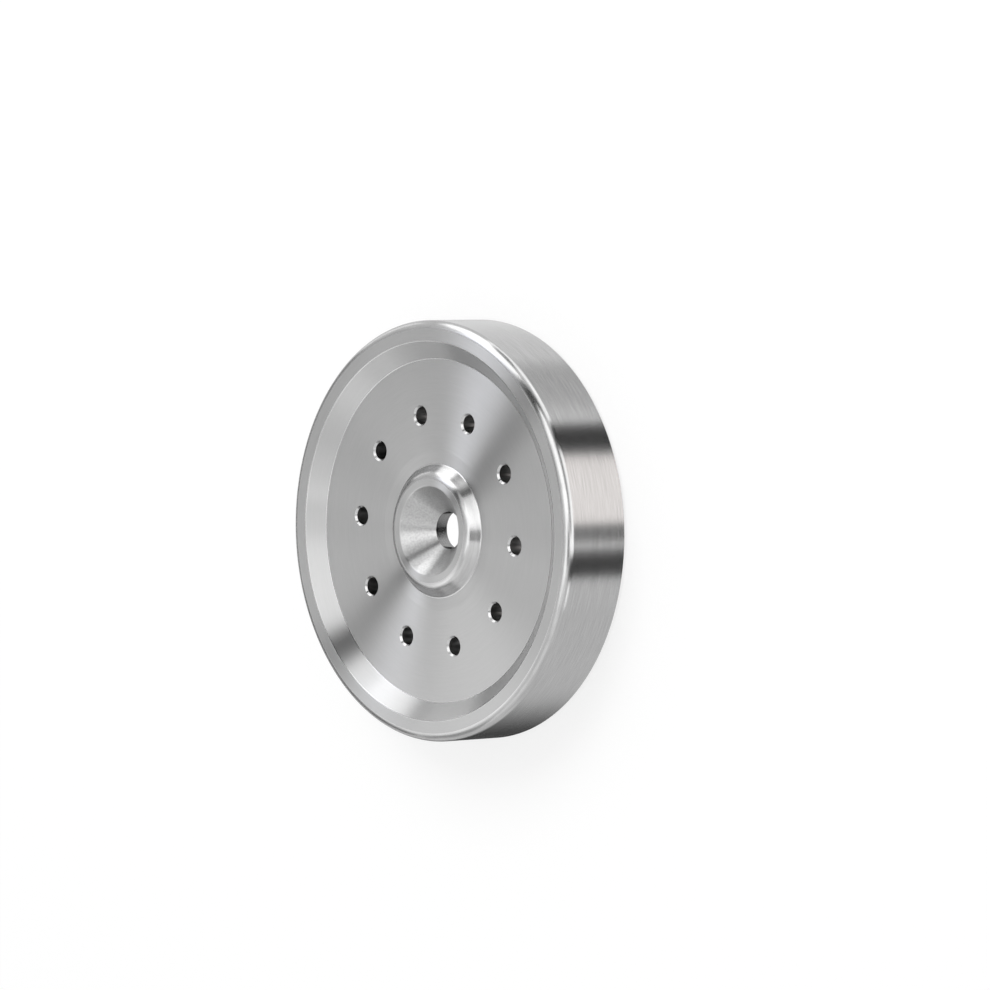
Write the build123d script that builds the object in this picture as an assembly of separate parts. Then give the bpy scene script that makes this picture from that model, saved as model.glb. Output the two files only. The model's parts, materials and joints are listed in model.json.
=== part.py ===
from build123d import *
import os
from math import radians, tan

# Espresso shower screen holder: one turned stainless steel disc, in millimetres.
# The origin is the centre of the back rim, and +Z is the disc's axis towards the screen side.

# Rim: a plain cylinder with a rounded front edge and a flat front land
rim_diameter = 58.0
rim_height = 10.6
front_round = 1.15
back_chamfer = 0.4
rim_land_width = 1.72

# Front recess: a flat floor inside a conical wall
recess_depth = 1.87
recess_wall_run = 2.44

# Boss at the centre of the floor, inside a shallow turned relief
boss_height = 1.45
boss_flank_run = 1.4
boss_land_width = 1.6
boss_round = 1.4
relief_width = 1.9
relief_depth = 0.12

# Screw hole through the boss, countersunk from the front
screw_hole_diameter = 5.2
countersink_diameter = 12.4
countersink_angle = 90.0

# Web between the front recess and the back chamber, and its ring of water holes
web_thickness = 4.15
water_hole_count = 10
water_hole_circle = 32.3
water_hole_diameter = 2.4
water_hole_chamfer = 0.25
water_hole_chamfer_angle = 90.0

# Water chamber in the back, inside the rim wall
chamber_wall = 6.0
chamber_corner_chamfer = 0.8
chamber_mouth_chamfer = 0.4

# Tool nose radius in the inside corners of the face, and the broken outside edges
root_round = 0.3
edge_break = 0.12

# Radii and heights that follow from the sizes above
rim_r = rim_diameter / 2
land_r = rim_r - front_round
mouth_r = land_r - rim_land_width
floor_r = mouth_r - recess_wall_run
chamber_r = rim_r - chamber_wall
screw_r = screw_hole_diameter / 2
countersink_r = countersink_diameter / 2
boss_land_r = countersink_r + boss_land_width
boss_base_r = boss_land_r + boss_flank_run
relief_r = boss_base_r + relief_width
water_hole_r = water_hole_diameter / 2

floor_z = rim_height - recess_depth
chamber_z = floor_z - web_thickness
boss_z = floor_z + boss_height
countersink_depth = (countersink_r - screw_r) / tan(radians(countersink_angle / 2))
countersink_z = boss_z - countersink_depth


def section_corners():
    """Corners of the turned section as (radius, height, rounding), from the screw hole outwards."""
    return [
        (screw_r, chamber_z, 0),
        (screw_r, countersink_z, 0),
        (countersink_r, boss_z, 0),
        (boss_land_r, boss_z, boss_round),
        (boss_base_r, floor_z - relief_depth, root_round),
        (relief_r, floor_z, 0),
        (floor_r, floor_z, root_round),
        (mouth_r, rim_height, 0),
        (rim_r, rim_height, front_round),
        (rim_r, back_chamfer, 0),
        (rim_r - back_chamfer, 0, 0),
        (chamber_r + chamber_mouth_chamfer, 0, 0),
        (chamber_r, chamber_mouth_chamfer, 0),
        (chamber_r, chamber_z - chamber_corner_chamfer, 0),
        (chamber_r - chamber_corner_chamfer, chamber_z, 0),
    ]


def broken_edges():
    """The outside corners of the section whose sharp edge is broken by a small flat."""
    return [
        (screw_r, chamber_z),
        (countersink_r, boss_z),
        (mouth_r, rim_height),
    ]


def turned_section():
    """The section on one side of the axis, with its corners rounded or broken."""
    corners = section_corners()
    points = [(radius, height) for radius, height, _ in corners]
    rounds = [rounding for _, _, rounding in corners]
    section = make_face(FilletPolyline(*points, radius=rounds, close=True))
    sharp = [section.vertices().sort_by_distance(edge)[0] for edge in broken_edges()]
    return chamfer(sharp, edge_break)


def water_holes():
    """Cutters for the ring of chamfered water holes, from the recess floor down through the web."""
    cutter = CounterSinkHole(
        water_hole_r,
        water_hole_r + water_hole_chamfer,
        depth=rim_height,
        counter_sink_angle=water_hole_chamfer_angle,
    )
    ring = PolarLocations(water_hole_circle / 2, water_hole_count)
    return [Pos(0, 0, floor_z) * place * cutter for place in ring]


def screen_holder():
    """The whole disc: its section turned about the axis, then drilled."""
    blank = revolve(Plane.XZ * turned_section(), Axis.Z)
    holder = blank - water_holes()
    holder.label = "screen_holder"
    return holder


os.makedirs("parts", exist_ok=True)
export_step(screen_holder(), "parts/screen_holder.step")
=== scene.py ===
"""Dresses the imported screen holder: one turned and drilled steel disc in a white product studio."""

import json
import math
from collections import namedtuple

import bpy
import numpy as np
from mathutils import Matrix, Vector


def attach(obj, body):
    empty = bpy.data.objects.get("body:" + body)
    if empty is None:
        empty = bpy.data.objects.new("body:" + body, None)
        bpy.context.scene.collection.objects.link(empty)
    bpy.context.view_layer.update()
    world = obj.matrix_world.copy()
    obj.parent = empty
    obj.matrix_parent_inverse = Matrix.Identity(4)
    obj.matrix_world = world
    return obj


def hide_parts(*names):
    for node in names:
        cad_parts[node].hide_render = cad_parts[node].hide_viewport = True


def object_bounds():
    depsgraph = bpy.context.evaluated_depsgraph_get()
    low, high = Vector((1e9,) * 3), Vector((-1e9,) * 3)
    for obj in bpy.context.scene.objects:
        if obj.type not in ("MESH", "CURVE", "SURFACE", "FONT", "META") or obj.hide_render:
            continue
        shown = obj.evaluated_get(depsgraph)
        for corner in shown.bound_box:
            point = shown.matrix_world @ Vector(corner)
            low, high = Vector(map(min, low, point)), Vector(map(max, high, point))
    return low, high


bl_info = {
    "name": "Turned screen holder",
    "version": (1, 0, 0),
    "blender": (4, 5, 0),
    "location": "View3D > Sidebar > Holder",
    "description": "Builds a turned and drilled steel disc with a rounded rim, and its studio",
    "category": "Object",
}

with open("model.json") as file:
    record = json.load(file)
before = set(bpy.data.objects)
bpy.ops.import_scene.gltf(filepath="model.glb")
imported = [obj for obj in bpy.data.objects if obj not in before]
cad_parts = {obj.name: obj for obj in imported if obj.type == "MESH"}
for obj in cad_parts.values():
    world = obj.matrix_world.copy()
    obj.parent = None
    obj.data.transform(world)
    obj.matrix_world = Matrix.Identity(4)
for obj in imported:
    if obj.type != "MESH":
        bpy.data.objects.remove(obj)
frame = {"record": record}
CAD_LOW, CAD_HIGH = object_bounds()

MM = 0.001
NODE = "screen_holder"
BODY = "root"
MOUNTS = {mount["name"]: mount for mount in frame["record"]["mounts"]}
SCREW_RADIUS = MOUNTS["screw_bore"]["dims"]["r_mm"] * MM

# Mesh fineness: columns of the turned surface in each water hole's sector, points along a sector's
# straight sides, rows from a hole's edge to its sector's border, and steps round a corner. Points
# within WELD are one.
SECTOR_STEPS = 40
SIDE_STEPS = 14
DRILLED_ROWS = 5
ROUND_STEPS = 12
WELD = 1e-8


def length_prop(name, description, default):
    """A size in metres that a user may change."""
    return bpy.props.FloatProperty(
        name=name, description=description, default=default,
        subtype="DISTANCE", unit="LENGTH", precision=5,
    )


def amount_prop(name, description, default):
    """A plain factor from 0 to 1."""
    return bpy.props.FloatProperty(
        name=name, description=description, default=default, min=0.0, max=1.0, subtype="FACTOR"
    )


def angle_prop(name, description, degrees):
    """An angle, given here in degrees and kept in radians."""
    return bpy.props.FloatProperty(
        name=name, description=description, default=math.radians(degrees),
        subtype="ANGLE", unit="ROTATION",
    )


def hex_prop(name, description, default):
    """An sRGB colour written as six hex digits."""
    return bpy.props.StringProperty(name=name, description=description, default=default, maxlen=6)


class HolderSizes(bpy.types.PropertyGroup):
    """Sizes of the turned section and its holes."""

    rim_radius: length_prop("Rim radius", "Outside radius of the disc", CAD_HIGH.x)
    rim_height: length_prop("Rim height", "Height of the disc along its axis", CAD_HIGH.z - CAD_LOW.z)
    front_round: length_prop("Front round", "Rounding of the rim's front edge", 1.15 * MM)
    back_chamfer: length_prop("Back chamfer", "Chamfer on the rim's back edge", 0.4 * MM)
    land_width: length_prop("Land width", "Flat front land of the rim", 1.72 * MM)
    recess_depth: length_prop("Recess depth", "Depth of the front recess below the land", 1.87 * MM)
    wall_run: length_prop("Wall run", "Radial run of the recess's conical wall", 2.44 * MM)
    boss_height: length_prop("Boss height", "Height of the boss above the recess floor", 1.45 * MM)
    flank_run: length_prop("Flank run", "Radial run of the boss's flank", 1.4 * MM)
    boss_land: length_prop("Boss land", "Flat ring of the boss outside the countersink", 1.6 * MM)
    boss_round: length_prop("Boss round", "Rounding of the boss's shoulder", 1.4 * MM)
    relief_width: length_prop("Relief width", "Shallow relief round the boss", 1.9 * MM)
    relief_depth: length_prop("Relief depth", "Depth of that relief at the boss", 0.12 * MM)
    screw_radius: length_prop("Screw hole radius", "Hole through the boss", SCREW_RADIUS)
    countersink_radius: length_prop("Countersink radius", "Mouth of the 90 degree cone", 6.2 * MM)
    web: length_prop("Web", "Thickness between the recess and the back chamber", 4.15 * MM)
    hole_circle: length_prop("Hole circle radius", "Circle of the water holes", 16.15 * MM)
    hole_radius: length_prop("Hole radius", "Radius of a water hole", 1.2 * MM)
    hole_chamfer: length_prop("Hole chamfer", "Chamfer at a water hole's mouth", 0.25 * MM)
    hole_count: bpy.props.IntProperty(
        name="Holes", description="Number of water holes", default=10, min=3
    )
    chamber_wall: length_prop("Chamber wall", "Rim wall outside the back chamber", 6.0 * MM)
    chamber_corner: length_prop("Chamber corner", "Chamfer in the chamber's corner", 0.8 * MM)
    chamber_mouth: length_prop("Chamber mouth", "Chamfer at the chamber's mouth", 0.4 * MM)
    root_round: length_prop("Root round", "Tool nose radius in inside corners", 0.3 * MM)
    edge_break: length_prop("Edge break", "Width that a broken edge takes off each face", 0.12 * MM)


class HolderFinish(bpy.types.PropertyGroup):
    """Look of the metal."""

    steel: hex_prop("Steel", "Reflection colour of turned stainless steel", "AAAAAA")
    # The countersink's colour is darker than the other steel's: painted shade in its hollow cone.
    sunk: hex_prop("Sunk steel", "Reflection colour of the more coarsely cut countersink", "A3A3A3")
    # The water holes' colour is darker than the steel's: painted shade inside the holes.
    drilled: hex_prop("Drilled steel", "Reflection colour inside the water holes", "8E8E8E")
    faced: amount_prop("Faced roughness", "Roughness of the faces and the countersink", 0.33)
    turned: amount_prop("Turned roughness", "Roughness of the rim, the rounds and the bore", 0.22)
    faced_grain: amount_prop("Faced grain", "Stretch of highlights across the marks of facing", 1.0)
    turned_grain: amount_prop("Turned grain", "Stretch of highlights across the marks of turning", 0.9)
    sunk_grain: amount_prop("Sunk grain", "Stretch of highlights down the countersink", 0.8)
    feed: length_prop("Feed", "Spacing of the turning marks, drawn coarse enough to show", 0.2 * MM)
    streak: length_prop("Streak", "Length of one turning mark before it fades", 4.0 * MM)
    mark_depth: length_prop("Mark depth", "Depth of the turning marks", 0.0008 * MM)
    faced_tone: amount_prop("Faced tone", "Lightening and darkening by the marks of facing", 0.06)
    turned_tone: amount_prop("Turned tone", "Lightening and darkening by the marks of turning", 0.2)
    chatter_tone: amount_prop("Chatter tone", "Lightening and darkening by the chatter", 0.25)
    chatter: length_prop("Chatter depth", "Depth of the chatter in the countersink", 0.01 * MM)


class StudioSettings(bpy.types.PropertyGroup):
    """Camera, floor and light."""

    turn: angle_prop("Turn", "Angle between the disc's axis and the view", -48.54)
    tip: angle_prop("Tip", "Tip of the disc's axis in the picture", 2.16)
    clocking: angle_prop("Clocking", "Turn of the disc about its own axis", -5.54)
    distance: length_prop("Distance", "Distance from the camera to the front land", 800 * MM)
    floor: hex_prop("Floor", "Colour of the pale floor", "FFFFFF")


def linear(hex_colour):
    """Turns six sRGB hex digits into a linear RGBA tuple."""
    srgb = np.array([int(hex_colour[i:i + 2], 16) for i in (0, 2, 4)]) / 255
    rgb = np.where(srgb <= 0.04045, srgb / 12.92, ((srgb + 0.055) / 1.055) ** 2.4)
    return (*rgb.tolist(), 1.0)


def add_node(tree, kind, links=None, **settings):
    """Adds a node, sets its attributes, and sets or links its inputs by name or number."""
    node = tree.nodes.new(kind)
    for name, value in settings.items():
        setattr(node, name, value)
    for name, value in (links or {}).items():
        socket = node.inputs[name]
        if isinstance(value, bpy.types.NodeSocket):
            tree.links.new(value, socket)
        else:
            socket.default_value = value
    return node


def section_corners(s):
    """Corners of the section, clockwise from the screw hole: (radius, height, round, break)."""
    mouth_r = s.rim_radius - s.front_round - s.land_width
    floor_r = mouth_r - s.wall_run
    chamber_r = s.rim_radius - s.chamber_wall
    boss_r = s.countersink_radius + s.boss_land
    base_r = boss_r + s.flank_run
    floor_z = s.rim_height - s.recess_depth
    chamber_z = floor_z - s.web
    boss_z = floor_z + s.boss_height
    cone_z = boss_z - (s.countersink_radius - s.screw_radius)
    return {
        "screw_back": (s.screw_radius, chamber_z, 0, s.edge_break),
        "screw_front": (s.screw_radius, cone_z, 0, 0),
        "countersink": (s.countersink_radius, boss_z, 0, s.edge_break),
        "boss_shoulder": (boss_r, boss_z, s.boss_round, 0),
        "boss_base": (base_r, floor_z - s.relief_depth, s.root_round, 0),
        "relief": (base_r + s.relief_width, floor_z, 0, 0),
        "floor": (floor_r, floor_z, s.root_round, 0),
        "mouth": (mouth_r, s.rim_height, 0, s.edge_break),
        "rim_front": (s.rim_radius, s.rim_height, s.front_round, 0),
        "rim_back": (s.rim_radius, s.back_chamfer, 0, 0),
        "seat_outer": (s.rim_radius - s.back_chamfer, 0, 0, 0),
        "seat_inner": (chamber_r + s.chamber_mouth, 0, 0, 0),
        "chamber_mouth": (chamber_r, s.chamber_mouth, 0, 0),
        "chamber_wall": (chamber_r, chamber_z - s.chamber_corner, 0, 0),
        "ceiling": (chamber_r - s.chamber_corner, chamber_z, 0, 0),
    }


def turned_by(vector, angles):
    """Turns a 2-D vector (x, y) by each angle: (x cos a - y sin a, x sin a + y cos a)."""
    c, s = np.cos(angles), np.sin(angles)
    return np.stack([c * vector[0] - s * vector[1], s * vector[0] + c * vector[1]], axis=-1)


def section_strips(s):
    """Cuts the section into smooth strips of (radius, height) points, each with its unit normals.

    A corner that turns by angle a takes a round of radius R, which starts R tan(a / 2) before the
    corner: its points are centre + R n on an outside corner and centre - R n on an inside one, with
    the normal n turned from one face's to the next. A broken edge is the round that takes its width
    off each face. What is left of each side between two rounds is a straight strip with one normal.
    A strip has the name of the corner that it starts from.
    """
    corners = section_corners(s)
    names = list(corners)
    table = np.array([corners[name] for name in names])
    points, rounds, breaks = table[:, :2], table[:, 2], table[:, 3]
    along = np.roll(points, -1, axis=0) - points
    along /= np.linalg.norm(along, axis=1, keepdims=True)
    normal = np.stack([-along[:, 1], along[:, 0]], axis=1)
    before = np.roll(along, 1, axis=0)
    across = before[:, 0] * along[:, 1] - before[:, 1] * along[:, 0]
    turn = np.arctan2(across, (before * along).sum(axis=1))
    half = np.tan(np.abs(turn) / 2)
    cut = np.where(breaks > 0, breaks, rounds * half)
    radius = cut / half
    strips = {}
    for i, name in enumerate(names):
        after = (i + 1) % len(names)
        if cut[i] > 0:
            normals = turned_by(normal[i - 1], np.linspace(0, turn[i], ROUND_STEPS + 1))
            outside = -np.sign(turn[i])
            centre = points[i] - before[i] * cut[i] - outside * radius[i] * normal[i - 1]
            strips[name + "_round"] = (centre + outside * radius[i] * normals, normals)
        ends = np.stack([points[i] + along[i] * cut[i], points[after] - along[i] * cut[after]])
        strips[name] = (ends, np.stack([normal[i], normal[i]]))
    return strips


def revolved(points, normals, columns):
    """Turns a strip about Z: (r, z) goes to (r cos t, r sin t, z) for t over a full turn."""
    t = np.linspace(0, 2 * np.pi, columns + 1)
    ring = np.stack([np.cos(t), np.sin(t)], axis=-1)

    def carry(rz):
        flat = rz[:, None, :1] * ring[None]
        height = np.broadcast_to(rz[:, None, 1:], (len(rz), columns + 1, 1))
        return np.concatenate([flat, height], axis=-1)

    return carry(points), carry(normals)


def sector_border(inner, outer, count):
    """Closed border of one hole's sector, from radius inner to outer, as points counted once round."""
    half = np.pi / count
    arc = np.linspace(-half, half, SECTOR_STEPS, endpoint=False)
    side = np.linspace(0, 1, SIDE_STEPS, endpoint=False)
    r = np.concatenate([
        np.full(SECTOR_STEPS, outer),
        outer + (inner - outer) * side,
        np.full(SECTOR_STEPS, inner),
        inner + (outer - inner) * side,
        [outer],
    ])
    t = np.concatenate([arc, np.full(SIDE_STEPS, half), -arc, np.full(SIDE_STEPS, -half), [-half]])
    return np.stack([r * np.cos(t), r * np.sin(t)], axis=-1)


def drilled_sector(ends, rays, hole_radius, s, upward):
    """Flat sector with a round hole: p = h + v (b - h) from the hole's edge h to the border b.

    The rays are the unit directions from the hole's centre that the edge points lie on.
    """
    border = sector_border(ends[:, 0].min(), ends[:, 0].max(), s.hole_count)
    edge = np.array([s.hole_circle, 0]) + hole_radius * rays
    v = np.linspace(0, 1, DRILLED_ROWS + 1)[:, None, None]
    flat = edge + v * (border - edge)
    if not upward:
        flat = flat[::-1]
    height = np.full((*flat.shape[:2], 1), ends[0, 1])
    normals = np.zeros((*flat.shape[:2], 3))
    normals[..., 2] = 1 if upward else -1
    return np.concatenate([flat, height], axis=-1), normals


def hole_wall(radii, heights, rays, s):
    """Hole wall between two rings: centre + r (cos a, sin a) at height z, facing the axis."""
    centre = np.array([s.hole_circle, 0])
    flat = centre + np.array(radii)[:, None, None] * rays
    height = np.broadcast_to(np.array(heights)[:, None, None], (*flat.shape[:2], 1))
    slope = np.array([heights[0] - heights[1], radii[0] - radii[1]])
    slope /= np.linalg.norm(slope)
    normal = np.concatenate([-slope[0] * rays, np.full((len(rays), 1), slope[1])], axis=-1)
    return np.concatenate([flat, height], axis=-1), np.broadcast_to(normal, (2, *normal.shape))


def around(patch, count):
    """Copies a patch to every hole's sector by turning it about Z."""
    t = 2 * np.pi * np.arange(count) / count
    c, s, zero = np.cos(t), np.sin(t), np.zeros(count)
    rows = ([c, -s, zero], [s, c, zero], [zero, zero, zero + 1])
    turns = np.stack([np.stack(row, axis=-1) for row in rows], axis=1)
    return [(patch[0] @ turn.T, patch[1] @ turn.T) for turn in turns]


# Numbers of the disc's materials, in the order in which the disc gets them
FACED, TURNED, DRILLED, SUNK = range(4)
# Strips with the smoother turned finish: the boss's shoulder and flank, the inside corners, the
# recess mouth's edge, the rim with its front round and back chamfer, and the screw hole. The rest
# is faced.
TURNED_STRIPS = (
    "boss_shoulder_round", "boss_shoulder", "boss_base_round", "floor_round", "mouth_round",
    "rim_front_round", "rim_front", "rim_back", "screw_back", "screw_back_round",
)


def strip_material(name):
    """Material number of a strip. The countersink's strip starts at the screw hole's front."""
    if name == "screw_front":
        return SUNK
    return TURNED if name in TURNED_STRIPS else FACED


def holder_patches(s):
    """All patches of the disc, as (points, normals, material number)."""
    strips = section_strips(s)
    columns = SECTOR_STEPS * s.hole_count
    front = strips.pop("relief")[0]
    back = strips.pop("ceiling")[0]
    border = sector_border(front[:, 0].min(), front[:, 0].max(), s.hole_count)
    rays = border - np.array([s.hole_circle, 0])
    rays /= np.linalg.norm(rays, axis=1, keepdims=True)
    mouth_radius = s.hole_radius + s.hole_chamfer
    front_z, back_z = front[0, 1], back[0, 1]
    wall_z = front_z - s.hole_chamfer
    patches = [(*revolved(*strip, columns), strip_material(name)) for name, strip in strips.items()]
    sectors = [
        (drilled_sector(front, rays, mouth_radius, s, True), FACED),
        (drilled_sector(back, rays, s.hole_radius, s, False), FACED),
        (hole_wall((mouth_radius, s.hole_radius), (front_z, wall_z), rays, s), TURNED),
        (hole_wall((s.hole_radius, s.hole_radius), (wall_z, back_z), rays, s), DRILLED),
    ]
    for patch, number in sectors:
        patches += [(*copy, number) for copy in around(patch, s.hole_count)]
    return patches


def grid_quads(rows, columns):
    """Corner numbers of every cell of a grid of points."""
    i, j = np.meshgrid(np.arange(rows - 1), np.arange(columns - 1), indexing="ij")
    first = (i * columns + j).ravel()
    return np.stack([first, first + columns, first + columns + 1, first + 1], axis=1)


def mesh_from_patches(name, patches):
    """Joins patches into one closed mesh, with equal points welded and the patches' normals kept.

    A patch whose cells face against its normals is turned over.
    """
    points, normals, quads, numbers = [], [], [], []
    start = 0
    for grid, normal, number in patches:
        rows, columns = grid.shape[:2]
        cells = grid_quads(rows, columns)
        corners = grid.reshape(-1, 3)[cells[0]]
        facing = np.cross(corners[2] - corners[0], corners[3] - corners[1])
        if facing @ normal.reshape(-1, 3)[cells[0]].sum(axis=0) < 0:
            cells = cells[:, ::-1]
        points.append(grid.reshape(-1, 3))
        normals.append(normal.reshape(-1, 3))
        quads.append(cells + start)
        numbers.append(np.full(len(cells), number))
        start += rows * columns
    points, normals, quads = np.concatenate(points), np.concatenate(normals), np.concatenate(quads)
    keys = np.round(points / WELD).astype(np.int64)
    _, first, welded = np.unique(keys, axis=0, return_index=True, return_inverse=True)
    mesh = bpy.data.meshes.new(name)
    mesh.from_pydata(points[first], [], welded.ravel()[quads])
    mesh.polygons.foreach_set("material_index", np.concatenate(numbers))
    mesh.polygons.foreach_set("use_smooth", np.ones(len(quads), dtype=bool))
    mesh.normals_split_custom_set(normals[quads].reshape(-1, 3))
    mesh.update()
    return mesh


# Share of the height in the coordinate across the turning marks. It isn't 1, because on a cone near
# 45 degrees radius and height would cancel out, and the marks with them.
HEIGHT_SHARE = 1.37
# Noise of the turning marks, and how far the roughness swings with it to each side of its mean
MARK_DETAIL = 2.0
MARK_NOISE = 0.6
ROUGHNESS_SWING = 0.02
# Spacing of the chatter marks, three to four in a millimetre, and their noise
CHATTER_SPACING = 0.28 * MM
CHATTER_DETAIL = 1.0
# Turn of the stretched highlights, as a share of a full turn, from along the marks to across them
ACROSS_MARKS = 0.25


def turned_steel(name, finish, steel, roughness, grain, tone, chatter=0.0):
    """Fine turned stainless steel: its concentric marks stretch each highlight into a soft fan.

    Uneven marks show as faint lines round the disc, and chatter as small glints where the tool
    shook. Real marks are too fine to show in a picture of the whole disc, so they are drawn at a
    coarser spacing.
    """
    material = bpy.data.materials.new(name)
    material.use_nodes = True
    tree = material.node_tree
    tree.nodes.clear()
    place = add_node(tree, "ShaderNodeTexCoord").outputs["Object"]
    axes = add_node(tree, "ShaderNodeSeparateXYZ", {"Vector": place})
    flat = add_node(tree, "ShaderNodeCombineXYZ", {"X": axes.outputs["X"], "Y": axes.outputs["Y"]})
    radius = add_node(tree, "ShaderNodeVectorMath", {0: flat.outputs[0]}, operation="LENGTH")
    across = add_node(
        tree, "ShaderNodeMath",
        {0: axes.outputs["Z"], 1: HEIGHT_SHARE, 2: radius.outputs["Value"]},
        operation="MULTIPLY_ADD",
    )
    short = finish.feed / finish.streak
    slow = add_node(
        tree, "ShaderNodeVectorMath", {0: flat.outputs[0], 1: (short, short, 0)}, operation="MULTIPLY"
    )
    fast = add_node(tree, "ShaderNodeCombineXYZ", {"Z": across.outputs[0]})
    stretched = add_node(
        tree, "ShaderNodeVectorMath", {0: slow.outputs[0], 1: fast.outputs[0]}, operation="ADD"
    )
    marks = add_node(
        tree, "ShaderNodeTexNoise",
        {
            "Vector": stretched.outputs[0], "Scale": 1 / finish.feed,
            "Detail": MARK_DETAIL, "Roughness": MARK_NOISE,
        },
    )
    rough = add_node(
        tree, "ShaderNodeMapRange",
        {
            "Value": marks.outputs["Fac"],
            "To Min": roughness - ROUGHNESS_SWING, "To Max": roughness + ROUGHNESS_SWING,
        },
    )
    pattern, below = marks, {}
    if chatter:
        pattern = add_node(
            tree, "ShaderNodeTexNoise",
            {"Vector": place, "Scale": 1 / CHATTER_SPACING, "Detail": CHATTER_DETAIL},
        )
        shaken = add_node(
            tree, "ShaderNodeBump",
            {"Height": pattern.outputs["Fac"], "Strength": 1.0, "Distance": chatter},
        )
        below = {"Normal": shaken.outputs[0]}
    bump = add_node(
        tree, "ShaderNodeBump",
        {"Height": marks.outputs["Fac"], "Strength": 1.0, "Distance": finish.mark_depth, **below},
    )
    shade = add_node(
        tree, "ShaderNodeMapRange",
        {"Value": pattern.outputs["Fac"], "To Min": 1 - tone, "To Max": 1 + tone},
    )
    colour = add_node(
        tree, "ShaderNodeVectorMath",
        {0: linear(steel)[:3], "Scale": shade.outputs[0]}, operation="SCALE",
    )
    tangent = add_node(tree, "ShaderNodeTangent", direction_type="RADIAL", axis="Z")
    shader = add_node(
        tree, "ShaderNodeBsdfPrincipled",
        {
            "Base Color": colour.outputs[0], "Metallic": 1.0, "Roughness": rough.outputs[0],
            "Anisotropic": grain, "Anisotropic Rotation": ACROSS_MARKS,
            "Normal": bump.outputs[0], "Tangent": tangent.outputs[0],
        },
    )
    add_node(tree, "ShaderNodeOutputMaterial", {"Surface": shader.outputs[0]})
    return material


# Streaks in the water holes: their width, how much longer they are than wide, their noise, and the
# roughness from the smoothest to the dullest
STREAK_WIDTH = 0.4 * MM
STREAK_STRETCH = 5
STREAK_DETAIL = 2.0
DRILLED_ROUGHNESS = (0.25, 0.5)


def drilled_shaded_steel(finish):
    """Drilled stainless steel: duller than the turned faces, with streaks along each hole, and darker
    as painted shade.
    """
    material = bpy.data.materials.new("drilled_steel_painted_shade")
    material.use_nodes = True
    tree = material.node_tree
    tree.nodes.clear()
    place = add_node(tree, "ShaderNodeTexCoord").outputs["Object"]
    slow = (1, 1, 1 / STREAK_STRETCH)
    stretch = add_node(tree, "ShaderNodeMapping", {"Vector": place, "Scale": slow})
    streaks = add_node(
        tree, "ShaderNodeTexNoise",
        {"Vector": stretch.outputs[0], "Scale": 1 / STREAK_WIDTH, "Detail": STREAK_DETAIL},
    )
    smoothest, dullest = DRILLED_ROUGHNESS
    rough = add_node(
        tree, "ShaderNodeMapRange",
        {"Value": streaks.outputs["Fac"], "To Min": smoothest, "To Max": dullest},
    )
    shader = add_node(
        tree, "ShaderNodeBsdfPrincipled",
        {"Base Color": linear(finish.drilled), "Metallic": 1.0, "Roughness": rough.outputs[0]},
    )
    add_node(tree, "ShaderNodeOutputMaterial", {"Surface": shader.outputs[0]})
    return material


def glowing_card(name, glow):
    """A card of even grey glow, where 1 is white and 0 is black."""
    material = bpy.data.materials.new(name)
    material.use_nodes = True
    tree = material.node_tree
    tree.nodes.clear()
    lit = add_node(tree, "ShaderNodeEmission", {"Color": (glow, glow, glow, 1), "Strength": 1.0})
    add_node(tree, "ShaderNodeOutputMaterial", {"Surface": lit.outputs[0]})
    return material


def seen_directly(tree):
    """Socket that is 1 for what is seen, also in metal and glass, and 0 for what only lights."""
    path = add_node(tree, "ShaderNodeLightPath")
    seen = path.outputs["Is Camera Ray"]
    for ray in ("Is Glossy Ray", "Is Transmission Ray"):
        either = add_node(tree, "ShaderNodeMath", {0: seen, 1: path.outputs[ray]}, operation="MAXIMUM")
        seen = either.outputs[0]
    return seen


# Share of the floor's white that is its own glow where it is seen, so that its shadow stays light
FLOOR_GLOW = 0.7


def floor_material(studio):
    """Pale matt board. Part of it glows where it is seen, so it is white where no shadow falls."""
    material = bpy.data.materials.new("pale_board")
    material.use_nodes = True
    tree = material.node_tree
    tree.nodes.clear()
    board = add_node(tree, "ShaderNodeBsdfDiffuse", {"Color": linear(studio.floor)})
    glow = add_node(tree, "ShaderNodeEmission", {"Color": linear(studio.floor), "Strength": 1.0})
    seen = seen_directly(tree)
    lift = add_node(tree, "ShaderNodeMath", {0: seen, 1: FLOOR_GLOW}, operation="MULTIPLY")
    both = add_node(
        tree, "ShaderNodeMixShader", {0: lift.outputs[0], 1: board.outputs[0], 2: glow.outputs[0]}
    )
    add_node(tree, "ShaderNodeOutputMaterial", {"Surface": both.outputs[0]})
    return material


# Sheets under the disc as (half size, height). The floor lies just below the disc, and the others are
# cards inside its back chamber,
# a hair apart: a white sheet of painted light under the screw hole, a dark sheet of painted shade, and
# the bore's lights.
FLOOR_SHEET = (3.0, -0.02 * MM)
PAINTED_LIGHT_SHEET = (12 * MM, 0.02 * MM)
SHADE_SHEET = (16 * MM, 0.01 * MM)
BORE_SHEET = (3.8 * MM, 0.03 * MM)
# Two lights for the screw hole's wall to mirror, as (side, glow), and their place in the picture's
# frame
BORE_LIGHTS = {"light_under_bore": (1, 0.8), "light_under_bore_low": (-1, 0.5)}
BORE_LIGHT_PLACE = (-1.0 * MM, 4.6 * MM)


def flat_sheet(name, half, height, material, centre=(0, 0)):
    """A flat square sheet: (u, v) goes to (u, v, height) for u and v within half of its centre."""
    corners = half * np.array([[-1, -1], [1, -1], [1, 1], [-1, 1]]) + np.array(centre)
    mesh = bpy.data.meshes.new(name)
    mesh.from_pydata(np.column_stack([corners, np.full(4, height)]), [], [(0, 1, 2, 3)])
    mesh.materials.append(material)
    sheet = bpy.data.objects.new(name, mesh)
    bpy.context.scene.collection.objects.link(sheet)
    return sheet


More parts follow.
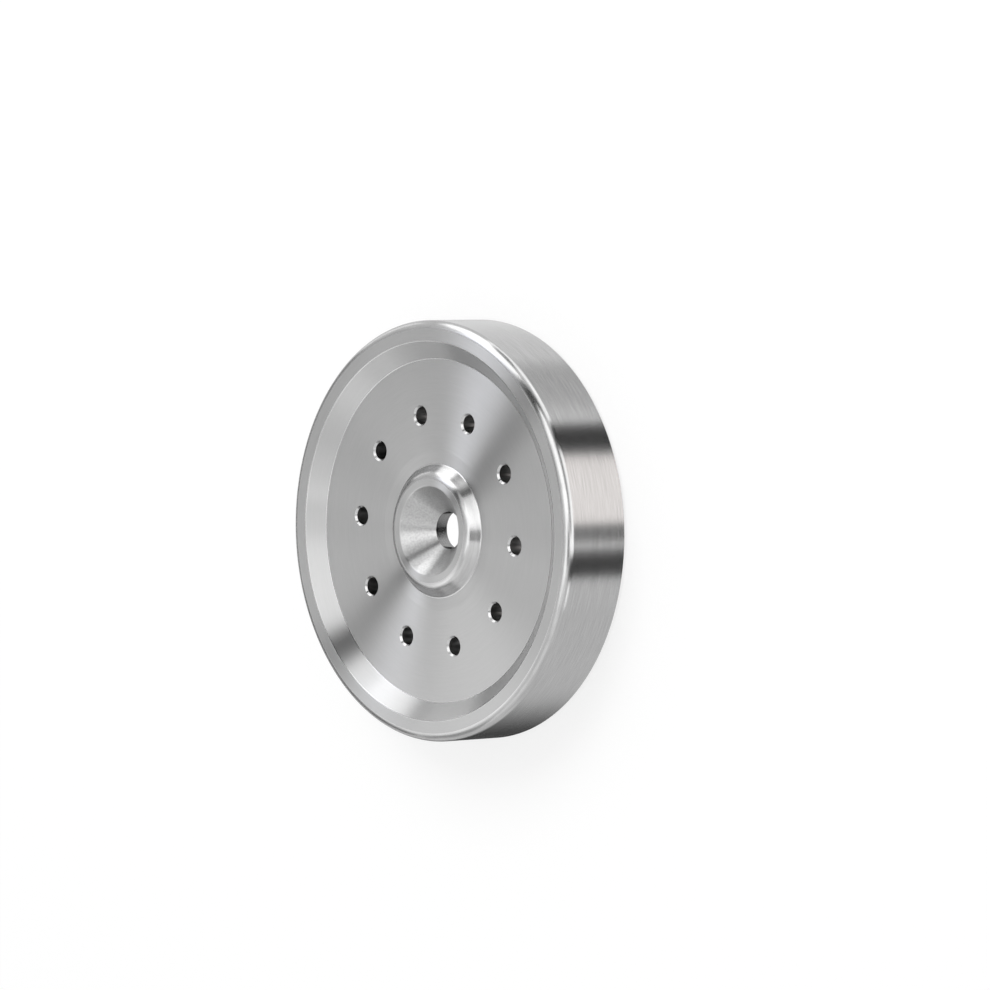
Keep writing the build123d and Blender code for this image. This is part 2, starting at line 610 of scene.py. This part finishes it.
# Cards round the disc that only its metal sees. Angles are in degrees in the picture's own frame:
# azimuth 0 is the camera's side of the disc, 90 is up in the picture, and elevation is towards the
# disc's front. Half sizes and softness are angles seen from the middle of the disc's back,
# distances are in metres, and the white surroundings have a glow of 1. First come the cards close
# to the disc, which its boss and its rim see in different places. Each card is CARD_SPACING nearer
# for every card before it, so a later one hides those behind.
CARD_FIELDS = "azimuth elevation roll half_width half_height glow softness distance tint"
Card = namedtuple("Card", CARD_FIELDS, defaults=(4, 0.6, "FFFFFF"))
CARDS = {
    "near_panel": Card(-146, 47, 0, 17, 15, 1.7, 10, 0.1),
    "land_panel": Card(-128, 50, 0, 9, 9, 2.1, 8, 0.06),
    "near_dim": Card(164, 39, 0, 9, 9, 0.8, 8, 0.11),
    "near_shade": Card(-142, 22, 0, 22, 5, 0.15, 3, 0.055),
    "near_gap": Card(-113, 27, 0, 13, 8, 0.45, 4, 0.085),
    "sunk_gap": Card(64, 56, 0, 9, 10, 1.0, 5, 0.045),
    "low_panel": Card(135, -41, 0, 42, 12, 1.15),
    "wall_panel": Card(150, 6, 0, 10, 7, 1.9, 2),
    "back_shade": Card(186, 14, 0, 24, 10, 0.2, 2),
    "pale_panel": Card(-55, 48, 5, 60, 16, 1.4),
    "crown_panel": Card(-50, 74, 0, 14, 8, 2.2),
    "over_panel": Card(60, 66, 0, 28, 12, 2.6),
    "low_lamp": Card(35, -14, 0, 70, 20, 2.5),
    "low_shade": Card(84, -45, 0, 13, 16, 0.65),
    "level_shade": Card(25, 18, 0, 22, 9, 0.08, 3),
    "front_panel": Card(-8, 68, 0, 14, 12, 2.6),
    "right_window": Card(40, 48, 10, 24, 12.5, 2.9),
    "tall_window": Card(112, 32, 0, 20, 30, 3.1),
    "frame_bar": Card(95, 14, 0, 8, 14, 0.3, 3),
    "low_window": Card(20, -48, 0, 18, 20, 1.65, 3, tint="FFF9F6"),
    "low_gap": Card(48, -26, 5, 7, 36, 0.03, 2),
    "high_gap": Card(78, 40, -40, 6, 26, 0.03, 2),
    "top_gap": Card(130, 62, 0, 27, 6.5, 0.05),
    "fan_window": Card(145, 48, 0, 10, 5, 3.8, tint="F4F6FF"),
    "slot_window": Card(-5, 2, 0, 4, 24, 2.6, 2),
    "dark_stripe": Card(-17, -22, 0, 6, 42, 0.03, 2),
    "high_stripe": Card(-9, 44, 0, 7, 10, 0.1, 2),
    "thin_stripe": Card(-1, -46, 0, 3.6, 20, 0.03, 2),
    "foot_shade": Card(-138, -41, 0, 22, 18, 0.3, 9),
    "dark_foot": Card(-160, -41, 0, 24, 18, 0.01, 9),
}
CARD_SPACING = 0.002
CARD_STEPS = 48


def direction(azimuth, elevation):
    """Unit vector of an azimuth and elevation in radians."""
    flat = math.cos(elevation)
    return np.array([flat * math.cos(azimuth), flat * math.sin(azimuth), math.sin(elevation)])


def covered(place, half, soft):
    """Cover of a card: 1 inside, 0 outside, and a smooth step 3 t^2 - 2 t^3 across its edge."""
    t = np.clip((half - np.abs(place)) / (2 * soft) + 0.5, 0, 1)
    return t * t * (3 - 2 * t)


def studio_card(name, card, order, clocking, material):
    """Curved card: p = d q / |q| with q = c + x r + y u, for its direction c and axes r and u.

    Its attribute cover is the product of the soft steps along x and y, and its attribute light is
    the same all over.
    """
    angles = (card.azimuth, card.elevation, card.roll)
    azimuth, elevation, roll = (math.radians(angle) for angle in angles)
    azimuth -= clocking
    far = card.distance - order * CARD_SPACING
    towards = direction(azimuth, elevation)
    east = np.array([-math.sin(azimuth), math.cos(azimuth), 0])
    north = np.cross(towards, east)
    across = math.cos(roll) * east + math.sin(roll) * north
    up = math.cos(roll) * north - math.sin(roll) * east
    soft, width, height = np.tan(np.radians([card.softness, card.half_width, card.half_height]))
    x = np.linspace(-width - soft, width + soft, CARD_STEPS + 1)
    y = np.linspace(-height - soft, height + soft, CARD_STEPS + 1)
    grid = towards + x[:, None, None] * across + y[None, :, None] * up
    grid *= far / np.linalg.norm(grid, axis=-1, keepdims=True)
    cover = covered(x, width, soft)[:, None] * covered(y, height, soft)[None, :]
    mesh = bpy.data.meshes.new(name)
    mesh.from_pydata(grid.reshape(-1, 3), [], grid_quads(CARD_STEPS + 1, CARD_STEPS + 1))
    mesh.attributes.new("cover", "FLOAT", "POINT").data.foreach_set("value", cover.ravel())
    light = np.tile(card.glow * np.array(linear(card.tint)), cover.size)
    mesh.attributes.new("light", "FLOAT_COLOR", "POINT").data.foreach_set("color", light)
    mesh.materials.append(material)
    sheet = bpy.data.objects.new(name, mesh)
    bpy.context.scene.collection.objects.link(sheet)
    sheet.visible_camera = False
    sheet.visible_diffuse = False
    sheet.visible_transmission = False
    sheet.visible_shadow = False


def card_material():
    """Studio card: glows by its attribute light, and is clear where its attribute cover is 0."""
    material = bpy.data.materials.new("studio_card")
    material.use_nodes = True
    material.cycles.emission_sampling = "NONE"
    tree = material.node_tree
    tree.nodes.clear()
    cover = add_node(tree, "ShaderNodeAttribute", attribute_name="cover")
    light = add_node(tree, "ShaderNodeAttribute", attribute_name="light")
    lit = add_node(tree, "ShaderNodeEmission", {"Color": light.outputs["Color"], "Strength": 1.0})
    clear = add_node(tree, "ShaderNodeBsdfTransparent")
    mix = add_node(
        tree, "ShaderNodeMixShader", {0: cover.outputs["Fac"], 1: clear.outputs[0], 2: lit.outputs[0]}
    )
    add_node(tree, "ShaderNodeOutputMaterial", {"Surface": mix.outputs[0]})
    return material


# Share of the light on the floor that comes from all round
ROUND_LIGHT = 0.8


def build_world():
    """Plain white surroundings: strength 1 where they are seen, and less as light."""
    world = bpy.data.worlds.new("white_surroundings")
    bpy.context.scene.world = world
    world.use_nodes = True
    tree = world.node_tree
    tree.nodes.clear()
    strength = add_node(
        tree, "ShaderNodeMapRange", {"Value": seen_directly(tree), "To Min": ROUND_LIGHT, "To Max": 1.0}
    )
    shade = add_node(
        tree, "ShaderNodeBackground", {"Color": (1, 1, 1, 1), "Strength": strength.outputs[0]}
    )
    add_node(tree, "ShaderNodeOutputWorld", {"Surface": shade.outputs[0]})


# Share of the light on the floor that comes from the soft lamp. With the light from all round it is
# a little over 1 under the lamp, so that the floor is still white at the picture's edges. The
# lamp's direction is its azimuth and elevation in degrees, as a card's.
LAMP_SHARE = 0.28
LAMP_DIRECTION = (90, 50)
LAMP_DISTANCE = 0.6
LAMP_SIZE = 0.35


def build_lamp(clocking):
    """Soft square lamp above the disc in the picture, which only lights the floor.

    At a distance d and an elevation e over the floor, a lamp of P watts lights a white floor to
    P sin e / (pi d)^2.
    """
    data = bpy.data.lights.new("soft_lamp", "AREA")
    data.shape = "SQUARE"
    data.size = LAMP_SIZE
    azimuth, elevation = (math.radians(angle) for angle in LAMP_DIRECTION)
    data.energy = LAMP_SHARE * (math.pi * LAMP_DISTANCE) ** 2 / math.sin(elevation)
    lamp = bpy.data.objects.new("soft_lamp", data)
    towards = Vector(direction(azimuth - clocking, elevation))
    lamp.location = towards * LAMP_DISTANCE
    lamp.rotation_euler = towards.to_track_quat("Z", "Y").to_euler()
    lamp.visible_glossy = False
    bpy.context.scene.collection.objects.link(lamp)


# Where the picture shows the centre of the disc's front land, and its scale there
PICTURE_SIZE = 990
LAND_PIXEL = (426.54, 531.09)
PIXELS_PER_MM = 7.276
SENSOR_MM = 36.0


def build_camera(studio, height):
    """Camera that sees the disc as the picture does: turned, tipped and placed by its land."""
    data = bpy.data.cameras.new("camera")
    data.sensor_width = SENSOR_MM
    data.lens = PIXELS_PER_MM * studio.distance / MM * SENSOR_MM / PICTURE_SIZE
    camera = bpy.data.objects.new("camera", data)
    bpy.context.scene.collection.objects.link(camera)
    turn = Matrix.Rotation(studio.tip, 4, "X") @ Matrix.Rotation(studio.turn, 4, "Y")
    turn = turn @ Matrix.Rotation(studio.clocking, 4, "Z")
    across = (LAND_PIXEL[0] - PICTURE_SIZE / 2) / PIXELS_PER_MM * MM
    up = (PICTURE_SIZE / 2 - LAND_PIXEL[1]) / PIXELS_PER_MM * MM
    lower = Matrix.Translation((0, 0, -height))
    view = Matrix.Translation((across, up, -studio.distance)) @ turn @ lower
    camera.matrix_world = view.inverted()
    bpy.context.scene.camera = camera


class HOLDER_OT_disc(bpy.types.Operator):
    """Build the turned and drilled disc in place of its plain solid"""

    bl_idname = "holder.disc"
    bl_label = "Turned disc"

    def execute(self, context):
        sizes, finish = context.scene.holder_sizes, context.scene.holder_finish
        mesh = mesh_from_patches("turned_disc", holder_patches(sizes))
        faced = (finish, finish.steel, finish.faced, finish.faced_grain, finish.faced_tone)
        turned = (finish, finish.steel, finish.turned, finish.turned_grain, finish.turned_tone)
        # The countersink gets the darker colour, which is painted shade in its hollow cone.
        sunk = (
            finish, finish.sunk, finish.faced, finish.sunk_grain, finish.chatter_tone, finish.chatter
        )
        mesh.materials.append(turned_steel("faced_stainless_steel", *faced))
        mesh.materials.append(turned_steel("turned_stainless_steel", *turned))
        mesh.materials.append(drilled_shaded_steel(finish))
        mesh.materials.append(turned_steel("countersunk_steel_painted_shade", *sunk))
        disc = bpy.data.objects.new("turned_disc", mesh)
        context.scene.collection.objects.link(disc)
        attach(disc, BODY)
        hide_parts(NODE)
        return {"FINISHED"}


class HOLDER_OT_stage(bpy.types.Operator):
    """Set up the pale floor, the studio light and the camera"""

    bl_idname = "holder.stage"
    bl_label = "Stage"

    def execute(self, context):
        sizes, studio = context.scene.holder_sizes, context.scene.holder_studio
        floor = flat_sheet("floor", *FLOOR_SHEET, floor_material(studio))
        floor.visible_glossy = False
        # Painted light: a white glowing sheet under the screw hole, seen only by the camera, where the
        # floor under the disc lies in shade.
        white = flat_sheet("painted_light_under_hole", *PAINTED_LIGHT_SHEET, glowing_card("painted_light_card", 1))
        white.visible_glossy = False
        white.visible_diffuse = False
        # Painted shade: a dark sheet under the disc that only the metal mirrors, where shade falls
        # under it.
        shade = flat_sheet("shade_under_disc", *SHADE_SHEET, glowing_card("painted_shade_card", 0))
        shade.visible_camera = False
        shade.visible_diffuse = False
        across, up = BORE_LIGHT_PLACE
        for name, (side, glow) in BORE_LIGHTS.items():
            centre = turned_by((across, up * side), -studio.clocking)
            light = flat_sheet(name, *BORE_SHEET, glowing_card(name, glow), centre)
            light.visible_camera = False
            light.visible_diffuse = False
        material = card_material()
        for order, (name, card) in enumerate(CARDS.items()):
            studio_card(name, card, order, studio.clocking, material)
        build_world()
        build_lamp(studio.clocking)
        build_camera(studio, sizes.rim_height)
        context.scene.view_settings.view_transform = "Standard"
        return {"FINISHED"}


class HOLDER_PT_sidebar(bpy.types.Panel):
    """Lists the holder's operators and settings"""

    bl_idname = "HOLDER_PT_sidebar"
    bl_label = "Turned screen holder"
    bl_space_type = "VIEW_3D"
    bl_region_type = "UI"
    bl_category = "Holder"

    def draw(self, context):
        for operator in (HOLDER_OT_disc, HOLDER_OT_stage):
            self.layout.operator(operator.bl_idname)
        for group in ("holder_sizes", "holder_finish", "holder_studio"):
            settings = getattr(context.scene, group)
            for name in settings.__annotations__:
                self.layout.prop(settings, name)


CLASSES = (
    HolderSizes, HolderFinish, StudioSettings,
    HOLDER_OT_disc, HOLDER_OT_stage, HOLDER_PT_sidebar,
)


def register():
    """Registers the classes and gives the scene its settings."""
    for cls in CLASSES:
        bpy.utils.register_class(cls)
    bpy.types.Scene.holder_sizes = bpy.props.PointerProperty(type=HolderSizes)
    bpy.types.Scene.holder_finish = bpy.props.PointerProperty(type=HolderFinish)
    bpy.types.Scene.holder_studio = bpy.props.PointerProperty(type=StudioSettings)


def unregister():
    """Takes the settings and the classes away again."""
    del bpy.types.Scene.holder_studio
    del bpy.types.Scene.holder_finish
    del bpy.types.Scene.holder_sizes
    for cls in reversed(CLASSES):
        bpy.utils.unregister_class(cls)


def main():
    """Builds the disc and its stage."""
    register()
    bpy.ops.holder.disc()
    bpy.ops.holder.stage()


if __name__ == "__main__":
    main()
